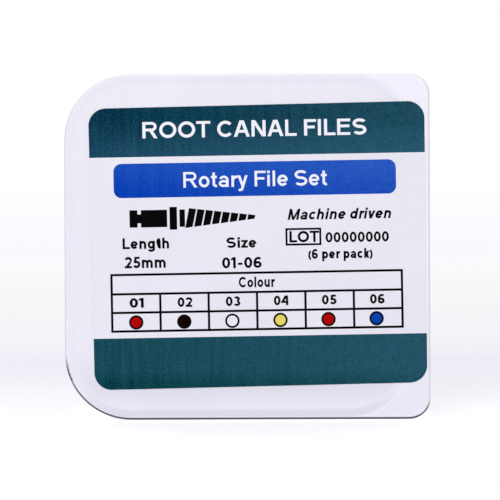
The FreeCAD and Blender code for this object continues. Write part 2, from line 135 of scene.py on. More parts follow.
class Shader(Nodes):
    """A node material, placed by its object's coordinates."""

    def __init__(self, name):
        self.material = bpy.data.materials.new(name)
        self.material.use_nodes = True
        super().__init__(self.material.node_tree, "Object")
        self.surface = self.tree.nodes["Principled BSDF"]

    def inset(self, left, right, bottom, top, radius):
        """How deep a point lies inside a rounded outline on the XZ plane."""
        x = self.math("ABSOLUTE", self.math("SUBTRACT", self.axis(0), (left + right) / 2))
        z = self.math("ABSOLUTE", self.math("SUBTRACT", self.axis(2), (bottom + top) / 2))
        x = self.math("SUBTRACT", x, (right - left) / 2 - radius)
        z = self.math("SUBTRACT", z, (top - bottom) / 2 - radius)
        near_x, near_z = self.math("MAXIMUM", x, 0.0), self.math("MAXIMUM", z, 0.0)
        squares = self.math("ADD", self.math("POWER", near_x, 2.0), self.math("POWER", near_z, 2.0))
        flat = self.math("MINIMUM", self.math("MAXIMUM", x, z), 0.0)
        reach = self.math("ADD", self.math("SQRT", squares), flat)
        return self.math("SUBTRACT", radius, reach)


def painted_show_through_shade(s, tone):
    """Painted shade and painted light on the lid's front, set by what lies behind it: the rim wall, the
    rack, or nothing beside the tray.
    """
    depth = s.inset(BASE_LOW.x, BASE_LOW.x + 2 * TRAY_HALF, BASE_LOW.z, BASE_HIGH.z, CORNER_RADIUS)
    height = s.axis(2)
    # painted shade: a darker band where the rim wall stands behind the plate, stronger low down
    wall = s.ramp(depth, 0.4 * MM, 0.8 * MM)
    wall = s.math("MULTIPLY", wall, s.ramp(depth, 1.8 * MM, 2.3 * MM, 1.0, 0.0))
    wall = s.math("MULTIPLY", wall, s.ramp(height, 1.0 * MM, 6.0 * MM, 0.8, 0.15))
    tone = s.mix(wall, tone, srgb(214, 212, 224))
    # painted light: a lighter tone over the rack behind the plate
    rack = s.ramp(depth, 5.4 * MM, 6.2 * MM, 0.0, 0.5)
    tone = s.mix(rack, tone, srgb(236, 234, 245))
    # painted shade: darker low down, just under the label
    shade = s.math("MULTIPLY", s.ramp(depth, 1.9 * MM, 2.5 * MM), s.ramp(height, 2.4 * MM, 6.0 * MM))
    shade = s.math("MULTIPLY", shade, s.ramp(height, 7.0 * MM, 14.0 * MM, 0.6, 0.0))
    tone = s.mix(shade, tone, srgb(216, 214, 227))
    # painted shade beside the tray, where nothing stands behind the plate: darker at the bottom than at the
    # top
    beside = s.mix(s.ramp(height, 4.0 * MM, 26.0 * MM), srgb(229, 227, 238), srgb(237, 235, 246))
    return s.mix(s.ramp(depth, -0.4 * MM, 0.4 * MM, 1.0, 0.0), tone, beside)


def painted_edge_shade(s, tone):
    """The plate's rounded front edge, with painted shade: a dark line on its down-facing part where it
    meets the table, paler grey ones on its side-facing parts.
    """
    front = s.ramp(s.axis(1), PLATE_FRONT, PLATE_FRONT + 0.45 * MM, 1.0, 0.0)
    normal = s.coordinates.outputs["Normal"]
    # painted shade on the down-facing edge, strongest low down
    down = s.ramp(s.axis(2, normal), -0.02, -0.25, 0.0, 1.0)
    low = s.ramp(s.axis(2), 11.0 * MM, 14.0 * MM, 1.0, 0.3)
    down = s.math("MULTIPLY", s.math("MULTIPLY", down, low), s.math("GREATER_THAN", front, 0.02))
    # painted shade, a lighter grey, on the side-facing edge
    side = s.math("ABSOLUTE", s.axis(0, normal))
    side = s.math("MULTIPLY", s.ramp(side, 0.1, 0.8, 0.0, 0.85), s.math("GREATER_THAN", front, 0.02))
    tone = s.mix(side, tone, srgb(202, 200, 212))
    return s.mix(down, tone, srgb(70, 69, 76))


def painted_label_shade(s, tone):
    """Inside the lid, painted shade where the label's bands would show faintly through the plate."""
    inside = s.math("MULTIPLY", s.ramp(s.axis(1, s.coordinates.outputs["Normal"]), 0.8, 0.95),
                    s.ramp(s.axis(1), PLATE_FRONT + 1.0 * MM, PLATE_FRONT + 1.1 * MM))
    inside = s.math("MULTIPLY", inside, s.ramp(s.axis(1), PLATE_FRONT + 1.4 * MM, PLATE_FRONT + 1.3 * MM))
    half_width, half_height = LABEL_WIDTH / 2, LABEL_HEIGHT / 2
    depth = s.inset(LABEL_CENTRE.x - half_width, LABEL_CENTRE.x + half_width,
                    LABEL_CENTRE.z - half_height, LABEL_CENTRE.z + half_height, LABEL_RADIUS)
    covered = s.math("MULTIPLY", inside, s.ramp(depth, -0.5 * MM, 0.5 * MM, 0.0, 1.0, "SMOOTHSTEP"))
    level = s.math("ABSOLUTE", s.math("SUBTRACT", s.axis(2), LABEL_CENTRE.z))
    band = s.ramp(level, (BAND_EDGE - 0.5) * MM, (BAND_EDGE + 0.5) * MM, 0.1, 0.55, "SMOOTHSTEP")
    # painted shade: the label's bands as faint blue-grey shadows on the inner face
    return s.mix(s.math("MULTIPLY", covered, band), tone, srgb(176, 190, 206))


def frosted_plastic(name, *finishes):
    """Milky polypropylene: a soft satin skin, faint flow marks, and light that scatters inside."""
    s = Shader(name)
    cloud = s.noise(45.0, 3.0)
    grain = s.noise(5200.0, 1.0)
    flow = s.noise(1.0, 2.0, s.stretched(420.0, 200.0, 30.0))
    tone = s.mix(s.ramp(cloud, 0.3, 0.7), srgb(230, 228, 239), srgb(235, 233, 244))
    tone = s.mix(s.ramp(flow, 0.35, 0.75, 0.0, 0.25), tone, srgb(224, 222, 234))
    # the lid's finishes paint shade and light into this tone
    for finish in finishes:
        tone = finish(s, tone)
    s.fill(
        s.surface,
        {
            "Base Color": tone,
            "Roughness": s.ramp(grain, 0.3, 0.7, 0.36, 0.48),
            "IOR": 1.49,
            "Specular IOR Level": 0.35,
            "Subsurface Weight": 0.25,
            "Subsurface Radius": (0.0012, 0.0011, 0.0013),
            "Subsurface Scale": 1.0,
            "Normal": s.bump(grain, 0.12, 0.00004, 0.2 * MM),
        },
    )
    return s.material


def rack_plastic():
    s = Shader("rack_plastic")
    cloud = s.noise(120.0, 3.0)
    grain = s.noise(4200.0, 1.0)
    tone = s.mix(s.ramp(cloud, 0.3, 0.7), srgb(236, 237, 240), srgb(246, 246, 248))
    s.fill(
        s.surface,
        {
            "Base Color": tone,
            "Roughness": s.ramp(grain, 0.3, 0.7, 0.38, 0.5),
            "Specular IOR Level": 0.4,
            "Subsurface Weight": 0.2,
            "Subsurface Radius": (0.001, 0.001, 0.001),
            "Subsurface Scale": 1.0,
            "Normal": s.bump(grain, 0.15, 0.00004, 0.15 * MM),
        },
    )
    return s.material


def paper(name):
    s = Shader(name)
    fibre = s.noise(2600.0, 3.0)
    cloud = s.noise(60.0, 2.0)
    tone = s.mix(s.ramp(cloud, 0.3, 0.7), srgb(226, 224, 235), srgb(230, 228, 239))
    s.fill(
        s.surface,
        {
            "Base Color": tone,
            "Roughness": s.ramp(fibre, 0.3, 0.7, 0.5, 0.62),
            "Specular IOR Level": 0.25,
            "Normal": s.bump(fibre, 0.08, 0.00002),
        },
    )
    return s.material


INK_HAZE = (0.013, 0.037, 0.066)


def ink(name, left, right=None, mottle=0.0, fleck=None, haze=(0.0, 1.0, 0.0, 0.0)):
    """Printing ink: a colour that may drift from left to right, with the press's streaks and mottle.

    haze is two heights in millimetres, and how much the ink is lightened, or darkened where negative, at
    each.
    """
    s = Shader(name)
    across = s.ramp(s.axis(0), -0.032, 0.036)
    tone = s.mix(across, left, right or left)
    streak = s.noise(1.0, 2.0, s.stretched(900.0, 1.0, 70.0))
    spots = s.noise(700.0, 3.0)
    grain = s.noise(2600.0, 2.0)
    strength = s.math("MULTIPLY", s.ramp(spots, 0.35, 0.7), mottle)
    strength = s.math("ADD", strength, s.math("MULTIPLY", s.ramp(streak, 0.45, 0.7), mottle))
    tone = s.mix(strength, tone, fleck or left)
    low, high, foot, head = haze
    # the ink drifts lighter or darker from one height to the other, with grain and streaks added
    level = s.ramp(s.axis(2), low * MM, high * MM, foot, head)
    level = s.math("ADD", level, s.ramp(grain, 0.3, 0.7, -mottle, mottle))
    level = s.math("ADD", level, s.ramp(streak, 0.3, 0.7, -mottle / 2, mottle / 2))
    tone = s.node("ShaderNodeVectorMath", {0: INK_HAZE, 1: level, 2: tone}, operation="MULTIPLY_ADD")
    s.fill(
        s.surface,
        {
            "Base Color": tone.outputs[0],
            "Roughness": s.ramp(spots, 0.3, 0.7, 0.5, 0.6),
            "Specular IOR Level": 0.03,
        },
    )
    return s.material


def brass():
    """Turned gold-coloured brass: fine rings round the shank."""
    s = Shader("shank_brass")
    rings = s.noise(1.0, 2.0, s.stretched(20.0, 20.0, 9000.0))
    stain = s.noise(500.0, 3.0)
    tone = s.mix(s.ramp(stain, 0.35, 0.7), srgb(224, 190, 112), srgb(202, 164, 86))
    s.fill(
        s.surface,
        {
            "Base Color": tone,
            "Metallic": 1.0,
            "Roughness": s.ramp(rings, 0.3, 0.7, 0.2, 0.36),
            "Normal": s.bump(rings, 0.25, 0.00002, 0.06 * MM),
        },
    )
    return s.material


def nickel_titanium():
    """Ground and polished wire, with three laser-marked depth rings on its shaft."""
    s = Shader("nickel_titanium")
    scratches = s.noise(1.0, 3.0, s.stretched(2500.0, 2500.0, 12000.0))
    stain = s.noise(300.0, 2.0)
    tone = s.mix(s.ramp(stain, 0.35, 0.7), srgb(196, 196, 197), srgb(172, 170, 167))
    for reach in DEPTH_MARKS:
        off = s.math("ABSOLUTE", s.math("SUBTRACT", s.axis(2), BLADE_TIP - reach))
        tone = s.mix(s.ramp(off, 0.14 * MM, 0.17 * MM, 1.0, 0.0), tone, srgb(52, 48, 46))
    s.fill(
        s.surface,
        {
            "Base Color": tone,
            "Metallic": 1.0,
            "Roughness": s.ramp(scratches, 0.3, 0.7, 0.2, 0.38),
            "Normal": s.bump(scratches, 0.15, 0.00001, 0.03 * MM),
        },
    )
    return s.material


def lacquer(name, colour):
    """The glossy enamel of a colour ring."""
    s = Shader(name)
    peel = s.noise(1800.0, 2.0)
    darker = tuple(channel * 0.8 for channel in colour[:3]) + (1.0,)
    s.fill(
        s.surface,
        {
            "Base Color": s.mix(s.ramp(peel, 0.3, 0.7), colour, darker),
            "Roughness": s.ramp(peel, 0.3, 0.7, 0.22, 0.32),
            "Coat Weight": 0.4,
            "Normal": s.bump(peel, 0.1, 0.00003, 0.1 * MM),
        },
    )
    return s.material


def silicone():
    s = Shader("stop_silicone")
    dust = s.noise(2400.0, 3.0)
    s.fill(
        s.surface,
        {
            "Base Color": s.mix(s.ramp(dust, 0.3, 0.75), srgb(34, 66, 150), srgb(56, 88, 170)),
            "Roughness": s.ramp(dust, 0.3, 0.7, 0.42, 0.58),
            "Subsurface Weight": 0.25,
            "Subsurface Radius": (0.0006, 0.0006, 0.001),
            "Subsurface Scale": 1.0,
            "Normal": s.bump(dust, 0.15, 0.00003, 0.12 * MM),
        },
    )
    return s.material


RED = srgb(172, 0, 0)
BLACK = srgb(18, 0, 0)
WHITE = srgb(230, 228, 238)
YELLOW = srgb(226, 208, 96)
BLUE = srgb(0, 62, 168)
CODE_COLOURS = (RED, BLACK, WHITE, YELLOW, RED, BLUE)

# the lid's plastic carries painted shade and painted light from these finishes
case_lid_plastic = frosted_plastic("case_lid_plastic", painted_show_through_shade, painted_label_shade, painted_edge_shade)
case_base_plastic = frosted_plastic("case_base_plastic")
rack_white = rack_plastic()
label_paper = paper("label_paper")
top_teal_ink = ink(
    "top_teal_ink", srgb(9, 54, 80), srgb(38, 82, 104), 0.45, srgb(12, 66, 80), (54.0, 61.0, 0.4, -0.3)
)
bottom_teal_ink = ink(
    "bottom_teal_ink", srgb(16, 64, 80), srgb(36, 82, 102), 0.45, srgb(16, 72, 78), (7.5, 10.0, -0.35, 0.1)
)
blue_ink = ink(
    "blue_ink", srgb(8, 66, 176), srgb(40, 88, 186), 0.4, srgb(16, 66, 176), (46.0, 51.0, -0.3, 0.3)
)
black_ink = ink("black_ink", srgb(3, 3, 5), mottle=0.02)
knocked_out = ink("paper_show_through", srgb(236, 236, 246), mottle=0.03)
brass_metal = brass()
blade_metal = nickel_titanium()
stop_rubber = silicone()


def paint(node, material):
    """Gives a CAD node its finished material."""
    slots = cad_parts[node].data.materials
    slots.clear()
    slots.append(material)


# Mesh helpers


def new_mesh(name, vertices, faces, material, body, slot):
    mesh = bpy.data.meshes.new(name)
    mesh.from_pydata(vertices, [], faces)
    mesh.validate()
    mesh.update()
    mesh.materials.append(material)
    piece = bpy.data.objects.new(name, mesh)
    bpy.context.scene.collection.objects.link(piece)
    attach(piece, body)
    return piece


def prisms(outlines, front, back):
    """Closed flat solids between two Y levels, from outlines of (x, z) points."""
    vertices, faces = [], []
    for outline in outlines:
        first = len(vertices)
        count = len(outline)
        vertices += [(x, front, z) for x, z in outline] + [(x, back, z) for x, z in outline]
        faces.append([first + index for index in range(count)])
        faces.append([first + count + index for index in reversed(range(count))])
        for index in range(count):
            following = (index + 1) % count
            near, far = first + index, first + following
            faces.append([far, near, near + count, far + count])
    return vertices, faces


def rounded(left, right, bottom, top, radius, steps=8):
    """The corner points of a rounded rectangle, anticlockwise from its lower right corner."""
    points = []
    corners = ((right - radius, bottom + radius, -90), (right - radius, top - radius, 0),
               (left + radius, top - radius, 90), (left + radius, bottom + radius, 180))
    for x, z, start in corners:
        for step in range(steps + 1):
            angle = math.radians(start + 90 * step / steps)
            points.append((x + radius * math.cos(angle), z + radius * math.sin(angle)))
    return points


def turned(points, angle):
    """Points turned anticlockwise about the origin."""
    c, s = math.cos(angle), math.sin(angle)
    return [(x * c - z * s, x * s + z * c) for x, z in points]


def on_label(points, tilt):
    """Label-centred points, tilted and moved to the label's place in the row frame."""
    return [(LABEL_CENTRE.x + x, LABEL_CENTRE.z + z) for x, z in turned(points, tilt)]


def in_millimetres(points):
    return [(x * MM, z * MM) for x, z in points]


def clipped(points, level, keep_above):
    """A convex outline cut along a horizontal line."""
    kept = []
    sign = 1 if keep_above else -1
    for index, (x, z) in enumerate(points):
        before_x, before_z = points[index - 1]
        side, side_before = sign * (z - level), sign * (before_z - level)
        if side * side_before < 0:
            share = side_before / (side_before - side)
            kept.append((before_x + (x - before_x) * share, level))
        if side >= 0:
            kept.append((x, z))
    return kept


def printed(name, outlines, material, layer=1):
    """Ink areas on the label, from outlines in the print's own millimetres."""
    front = PAPER_FRONT - layer * INK
    flat = [on_label(in_millimetres(outline), PRINT_TILT) for outline in outlines]
    return new_mesh(name, *prisms(flat, front, front + INK), material, "lid", "label_paper")


# Label


def label_outline():
    """The label's outline, whose right edge was cut slightly out of square."""
    half_width, half_height = LABEL_WIDTH / 2, LABEL_HEIGHT / 2
    outline = rounded(-half_width, half_width, -half_height, half_height, LABEL_RADIUS, 12)
    return [(x + LABEL_SKEW * z if x > 0 else x, z) for x, z in outline]


def make_label_paper():
    outline = on_label(label_outline(), LABEL_TILT)
    sheet = new_mesh(
        "label_sheet", *prisms([outline], PAPER_FRONT, PLATE_FRONT), label_paper, "lid", "label_paper"
    )
    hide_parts("front_label")


BAR = (-29.1, 28.0, 10.05, 16.98)
BAR_RADIUS = 1.6
TABLE_LEFT, TABLE_RIGHT = -29.86, 28.84
TABLE_ROWS = (-5.48, -9.38, -13.14, -16.9)
TABLE_LINE = 0.46
DOT_START = -25.01
DOT_PITCH = 9.72
DOT_HEIGHT = -15.12
DOT_RADIUS = 1.46
DOT_OUTLINE = 0.4
LOT_BOX = (5.46, 12.7, -0.13, 3.4)
LOT_BOX_LINE = 0.4


def make_bands():
    """Dark bands that bleed off the label's top and bottom edges."""
    sheet = turned(label_outline(), LABEL_TILT - PRINT_TILT)
    sheet = [(x / MM, z / MM) for x, z in sheet]
    printed("top_band", [clipped(sheet, BAND_EDGE, True)], top_teal_ink)
    printed("bottom_band", [clipped(sheet, -BAND_EDGE, False)], bottom_teal_ink)
    printed("title_bar", [rounded(*BAR, BAR_RADIUS)], blue_ink)


def box_outline(left, right, bottom, top):
    return [(left, bottom), (right, bottom), (right, top), (left, top)]


def column_edges():
    pitch = (TABLE_RIGHT - TABLE_LEFT) / FILE_COUNT
    return [TABLE_LEFT + pitch * index for index in range(FILE_COUNT + 1)]


def make_table():
    half = TABLE_LINE / 2
    bars = []
    for row in TABLE_ROWS:
        bars.append(box_outline(TABLE_LEFT - half, TABLE_RIGHT + half, row - half, row + half))
    rows = list(zip(TABLE_ROWS, TABLE_ROWS[1:]))
    for index, x in enumerate(column_edges()):
        outer = index in (0, FILE_COUNT)
        for top, bottom in rows if outer else rows[1:]:
            bars.append(box_outline(x - half, x + half, bottom + half, top - half))
    printed("table_lines", bars, black_ink)


def circle_outline(x, z, radius, steps=28):
    turn = 2 * math.pi / steps
    return [(x + radius * math.cos(turn * i), z + radius * math.sin(turn * i)) for i in range(steps)]


def make_dots():
    for index, colour in enumerate(CODE_COLOURS):
        middle = DOT_START + DOT_PITCH * index
        number = index + 1
        ring = circle_outline(middle, DOT_HEIGHT, DOT_RADIUS)
        printed(f"code_dot_outline_{number}", [ring], black_ink)
        spot = circle_outline(middle, DOT_HEIGHT, DOT_RADIUS - DOT_OUTLINE)
        fill = ink(f"code_ink_{number}", colour, mottle=0.08)
        printed(f"code_dot_{number}", [spot], fill, layer=2)


def frame_bars(left, right, bottom, top, line):
    """The four sides of a printed box."""
    return [
        box_outline(left, right, top - line, top),
        box_outline(left, right, bottom, bottom + line),
        box_outline(left, left + line, bottom + line, top - line),
        box_outline(right - line, right, bottom + line, top - line),
    ]


# Lettering: a plain sans serif drawn from strokes. Heights count from the baseline, with a capital 1 high.

X_HEIGHT = 0.73
WORD_GAP = 0.34
ARC_STEP = 15
SLOPED_LEFT, CURVED_LEFT = "ATvyz14", "COSacdegot02356("
SLOPED_RIGHT, CURVED_RIGHT = "AFLTkrvyz", "CORSceopst02356)"


def gap(character, sloped, curved):
    """The space at one side of a letter: least by a slope, more by a curve, most by an upright."""
    return 0.01 if character in sloped else 0.05 if character in curved else 0.09


def post(left, bottom, top, weight):
    """An upright stroke."""
    return [box_outline(left, left + weight, bottom, top)]


def bar(left, right, bottom, weight):
    """A level stroke."""
    return [box_outline(left, right, bottom, bottom + weight)]


def slant(x_start, y_start, x_end, y_end, weight):
    """A diagonal stroke between the middles of its two level ends."""
    half = weight / 2 * math.hypot(x_end - x_start, y_end - y_start) / abs(y_end - y_start)
    (x_low, low), (x_high, high) = sorted([(x_start, y_start), (x_end, y_end)], key=lambda end: end[1])
    return [[(x_low - half, low), (x_low + half, low), (x_high + half, high), (x_high - half, high)]]


def bow(x, y, across, up, start, end, weight):
    """A curved stroke between two angles of an ellipse, given by its outer radii, in short spans."""
    spans = max(1, round((end - start) / ARC_STEP))
    angles = [math.radians(start + (end - start) * index / spans) for index in range(spans + 1)]
    outer = [(x + across * math.cos(a), y + up * math.sin(a)) for a in angles]
    inner = [(x + (across - weight) * math.cos(a), y + (up - weight) * math.sin(a)) for a in angles]
    return [[inner[i], outer[i], outer[i + 1], inner[i + 1]] for i in range(spans)]


def ring(width, height, weight, x=0.0, y=0.0):
    return bow(x + width / 2, y + height / 2, width / 2, height / 2, 0, 360, weight)


def arch(left, right, weight):
    """The curve and right leg of n, h and m."""
    half = (right - left) / 2
    spring = X_HEIGHT - 0.33
    return bow(left + half, spring, half, 0.33, 0, 180, weight) + post(right - weight, 0, spring, weight)


def double_bow(width, height, weight):
    """The two opposed curves of S and s."""
    middle = height * 0.51
    high = (height - middle + weight / 2) / 2
    low = (middle + weight / 2) / 2
    half = width / 2
    upper = bow(half, height - high, half, high, 30, 270, weight)
    return upper + bow(half, low, half, low, 210, 450, weight)


def alphabet(w):
    """The width and the strokes of each character that the label needs, at a stroke weight."""
    x, thin, h = X_HEIGHT, w * 0.9, w / 2
    stem = post(0, 0, 1, w)
    short_stem = post(0, 0, x, w)
    small_ring = ring(0.65, x, w)
    return {
        "A": (0.96, slant(0.56 * w, 0, 0.45, 1, w) + slant(0.96 - 0.56 * w, 0, 0.51, 1, w)
              + bar(0.2, 0.76, 0.25, thin)),
        "C": (0.92, bow(0.49, 0.5, 0.49, 0.5, 42, 318, w)),
        "E": (0.78, stem + bar(0, 0.78, 0, thin) + bar(0, 0.73, 0.47, thin) + bar(0, 0.78, 1 - thin, thin)),
        "F": (0.72, stem + bar(0, 0.64, 0.44, thin) + bar(0, 0.72, 1 - thin, thin)),
        "I": (w, stem),
        "L": (0.68, stem + bar(0, 0.68, 0, thin)),
        "M": (1.0, stem + post(1.0 - w, 0, 1, w) + slant(0.6 * w, 1, 0.5, 0, thin)
              + slant(1.0 - 0.6 * w, 1, 0.5, 0, thin)),
        "N": (0.84, stem + post(0.84 - w, 0, 1, w) + slant(0.62 * w, 1, 0.84 - 0.62 * w, 0, w)),
        "O": (1.02, ring(1.02, 1, w)),
        "R": (0.9, stem + bar(0, 0.55, 1 - thin, thin) + bar(0, 0.55, 0.43, thin)
              + bow(0.55, 0.715, 0.3, 0.285, -90, 90, thin) + slant(0.9 - 0.58 * w, 0, 0.5, 0.47, w)),
        "S": (0.82, double_bow(0.82, 1, w)),
        "T": (0.84, bar(0, 0.84, 1 - thin, thin) + post(0.42 - h, 0, 1, w)),
        "0": (0.68, ring(0.68, 1, w)),
        "1": (0.4, post(0.4 - w, 0, 1, w) + slant(0.06, 0.74, 0.4 - h, 1, w)),
        "2": (0.68, bow(0.34, 0.69, 0.34, 0.31, -30, 165, w) + slant(0.08 + h, 0.06, 0.64 - h, 0.56, w)
              + bar(0, 0.68, 0, thin)),
        "3": (0.68, bow(0.33, 0.74, 0.3, 0.26, -90, 155, w) + bow(0.33, 0.285, 0.34, 0.285, -155, 90, w)),
        "4": (0.74, post(0.48, 0, 1, w) + bar(0, 0.74, 0.23, thin) + slant(h, 0.27, 0.5, 1, w)),
        "5": (0.68, bar(0.15, 0.62, 1 - thin, thin) + slant(0.07 + h, 0.44, 0.14 + h, 1, w)
              + bow(0.33, 0.33, 0.35, 0.33, -155, 130, w)),
        "6": (0.68, ring(0.68, 0.62, w) + bow(0.4, 0.5, 0.4, 0.5, 52, 200, w)),
        "a": (0.64, ring(0.62, 0.45, thin) + post(0.64 - w, 0, 0.46, w)
              + bow(0.33, 0.45, 0.31, x - 0.45, 0, 160, thin)),
        "c": (0.63, bow(0.34, x / 2, 0.34, x / 2, 42, 318, w)),
        "d": (0.67, small_ring + post(0.67 - w, 0, 1, w)),
        "e": (0.68, bow(0.34, x / 2, 0.34, x / 2, 0, 322, w) + bar(h, 0.68 - h, x / 2 - h, thin)),
        "g": (0.67, small_ring + post(0.67 - w, -0.02, x, w) + bow(0.335, -0.02, 0.335, 0.27, -165, 0, w)),
        "h": (0.63, stem + arch(0, 0.63, w)),
        "i": (w, short_stem + bar(0, w, 1 - w, w)),
        "k": (0.58, stem + slant(0.9 * w, 0.24, 0.58 - 0.6 * w, x, w)
              + slant(0.58 - 0.6 * w, 0, 0.25, 0.44, w)),
        "l": (w, stem),
        "m": (1.02, short_stem + arch(0, (1.02 + w) / 2, w) + arch((1.02 - w) / 2, 1.02, w)),
        "n": (0.63, short_stem + arch(0, 0.63, w)),
        "o": (0.69, ring(0.69, x, w)),
        "p": (0.67, ring(0.65, x, w, 0.02) + post(0, -0.28, x, w)),
        "r": (0.38, short_stem + bow(0.36, x - 0.36, 0.36, 0.36, 75, 180, w)),
        "t": (0.4, post(0.1, 0.2, 0.94, w) + bar(0, 0.38, x - thin, thin)
              + bow(0.33, 0.2, 0.23, 0.2, 180, 290, w)),
        "u": (0.63, post(0.63 - w, 0, x, w) + post(0, 0.33, x, w)
              + bow(0.315, 0.33, 0.315, 0.33, 180, 360, w)),
        "v": (0.66, slant(0.55 * w, x, 0.33, 0, w) + slant(0.66 - 0.55 * w, x, 0.33, 0, w)),
        "y": (0.66, slant(0.55 * w, x, 0.34, 0, w) + slant(0.66 - 0.55 * w, x, 0.25, -0.24, w)
              + bar(0.06, 0.25, -0.28, thin)),
        "z": (0.58, bar(0, 0.58, 0, thin) + bar(0, 0.58, x - thin, thin)
              + slant(0.7 * w, h, 0.58 - 0.7 * w, x - h, w)),
        "(": (0.26, bow(0.56, 0.36, 0.56, 0.66, 128, 232, thin)),
        ")": (0.26, bow(-0.3, 0.36, 0.56, 0.66, -52, 52, thin)),
        "-": (0.38, bar(0, 0.38, 0.3, thin)),
    }


def merged(polygons):
    """The triangles that overlapping polygons cover together."""
    points, faces = [], []
    for polygon in polygons:
        faces.append(list(range(len(points), len(points) + len(polygon))))
        points += [Vector(point) for point in polygon]
    flat, _, triangles, _, _, origins = delaunay_2d_cdt(points, [], faces, 1, 1e-5, True)
    return flat, [triangle for triangle, origin in zip(triangles, origins) if origin]


def set_in_type(text, weight, lean):
    """Words as points and triangles, one capital high. lean is the slant of italics."""
    pen = 0.0
    points, triangles = [], []
    letters = alphabet(weight)
    for character in text:
        if character == " ":
            pen += WORD_GAP
            continue
        width, strokes = letters[character]
        pen += gap(character, SLOPED_LEFT, CURVED_LEFT)
        flat, faces = merged(strokes)
        first = len(points)
        points += [(pen + p.x + lean * p.y, p.y) for p in flat]
        triangles += [[first + index for index in face] for face in faces]
        pen += width + gap(character, SLOPED_RIGHT, CURVED_RIGHT)
    return points, triangles


def solid_sheet(points, triangles, front, back):
    """A closed solid between two Y levels over a patch of triangles."""
    count = len(points)
    vertices = [(x, front, z) for x, z in points] + [(x, back, z) for x, z in points]
    faces = [list(face) for face in triangles]
    faces += [[count + index for index in reversed(face)] for face in triangles]
    used = {(face[i], face[(i + 1) % len(face)]) for face in triangles for i in range(len(face))}
    for start, end in sorted(used):
        if (end, start) not in used:
            faces.append([end, start, count + start, count + end])
    return vertices, faces


def words(name, text, left, right, baseline, capital, material=None, weight=0.215, lean=0.0, layer=1):
    """Printed words, as wide and as tall as asked, in the print's millimetres."""
    points, triangles = set_in_type(text, weight, lean)
    start = min(x for x, z in points)
    across = (right - left) / (max(x for x, z in points) - start)
    placed = [(left + (x - start) * across, baseline + z * capital) for x, z in points]
    placed = on_label(in_millimetres(placed), PRINT_TILT)
    front = PAPER_FRONT - layer * INK
    solid = solid_sheet(placed, triangles, front, front + INK)
    new_mesh(name, *solid, material or black_ink, "lid", "label_paper")


HEADING = {"material": knocked_out, "weight": 0.185, "layer": 2}
BAR_TITLE = {"material": knocked_out, "weight": 0.165, "layer": 2}
ITALIC = {"weight": 0.21, "lean": 0.22}
HEAVY = {"weight": 0.23}
CODE_START = DOT_START + 0.2
CODE_WIDTH = 2.95
CODE_BASELINE, CODE_CAPITAL = -12.15, 1.95


def make_words():
    """Each line of print: its words, left and right ends, baseline and capital height."""
    words("heading_words", "ROOT CANAL FILES", -23.1, 22.2, 22.05, 3.3, **HEADING)
    words("bar_words", "Rotary File Set", -15.0, 14.1, 11.95, 3.15, **BAR_TITLE)
    words("drive_words", "Machine driven", 5.95, 26.9, 5.08, 2.2, **ITALIC)
    words("lot_word", "LOT", 6.25, 12.25, 0.5, 2.3)
    words("lot_number", "00000000", 13.55, 26.35, 0.36, 2.1)
    words("content_words", "(6 per pack)", 10.0, 23.0, -2.88, 2.0, **HEAVY)
    words("length_word", "Length", -27.5, -18.1, -0.27, 2.2)
    words("length_value", "25mm", -27.15, -18.85, -4.15, 2.3)
    words("size_word", "Size", -6.5, -0.45, -0.4, 2.15)
    words("size_value", "01-06", -7.45, 0.55, -4.52, 2.25)
    words("colour_word", "Colour", -4.15, 3.2, -8.42, 2.15)
    for index in range(FILE_COUNT):
        left, number = CODE_START + DOT_PITCH * index - CODE_WIDTH / 2, index + 1
        right = left + CODE_WIDTH
        words(f"code_{number}", f"0{number}", left, right, CODE_BASELINE, CODE_CAPITAL, **HEAVY)


PICTOGRAM_LEFT = -26.0
PICTOGRAM_MIDDLE = 5.8
PICTOGRAM_BLOCKS = (
    (0.0, 1.6, 1.75), (1.6, 2.3, 0.9), (2.3, 7.6, 1.75), (8.1, 9.6, 2.3), (10.1, 11.2, 1.75)
)
PICTOGRAM_NECK, PICTOGRAM_TIP = 11.5, 25.5


def make_pictogram():
    """A heavy drawing of one file: latch end, shank, ring, collar and a twisted blade."""
    left, middle = PICTOGRAM_LEFT, PICTOGRAM_MIDDLE
    shapes = []
    for start, end, half in PICTOGRAM_BLOCKS:
        shapes.append(box_outline(left + start, left + end, middle - half, middle + half))
    turns, lean, space, root, taper = 8, 0.8, 0.14, 2.0, 0.82
    neck, tip = left + PICTOGRAM_NECK, left + PICTOGRAM_TIP
    for index in range(turns):
        start = neck + (tip - neck) * index / turns + space
        end = neck + (tip - neck) * (index + 1) / turns - space
        tall = root * (1 - taper * index / turns)
        low = root * (1 - taper * (index + 1) / turns)
        slope = lean * tall / root
        shapes.append([
            (start - slope / 2, middle - tall),
            (end - slope / 2, middle - low),
            (end + slope / 2, middle + low),
            (start + slope / 2, middle + tall),
        ])
    printed("file_pictogram", shapes, black_ink)


# Moulding marks: the rings that ejector pins leave inside the lid

LID_INSIDE = PLATE_FRONT + 1.2 * MM
PIN_MARK = 4.2
PIN_MARK_LINE = 0.22
PIN_MARK_SPREAD = (47, 46)
PIN_MARK_HEIGHT = 0.05 * MM
PIN_MARK_SUNK = 0.02 * MM


def make_pin_marks():
    """Four low rings on the lid's inner face, in millimetres until they are placed."""
    polygons = []
    middle_x = (BASE_LOW.x + TRAY_HALF) / MM
    middle_z = (BASE_LOW.z + BASE_HIGH.z) / 2 / MM
    for side in (-0.5, 0.5):
        for level in (-0.5, 0.5):
            x = middle_x + side * PIN_MARK_SPREAD[0] - PIN_MARK / 2
            z = middle_z + level * PIN_MARK_SPREAD[1] - PIN_MARK / 2
            polygons += ring(PIN_MARK, PIN_MARK, PIN_MARK_LINE, x, z)
    flat, triangles = merged(polygons)
    points = [(point.x * MM, point.y * MM) for point in flat]
    solid = solid_sheet(points, triangles, LID_INSIDE - PIN_MARK_SUNK, LID_INSIDE + PIN_MARK_HEIGHT)
    new_mesh("lid_pin_marks", *solid, case_lid_plastic, "lid", "case_plastic")


make_pin_marks()

# Blades

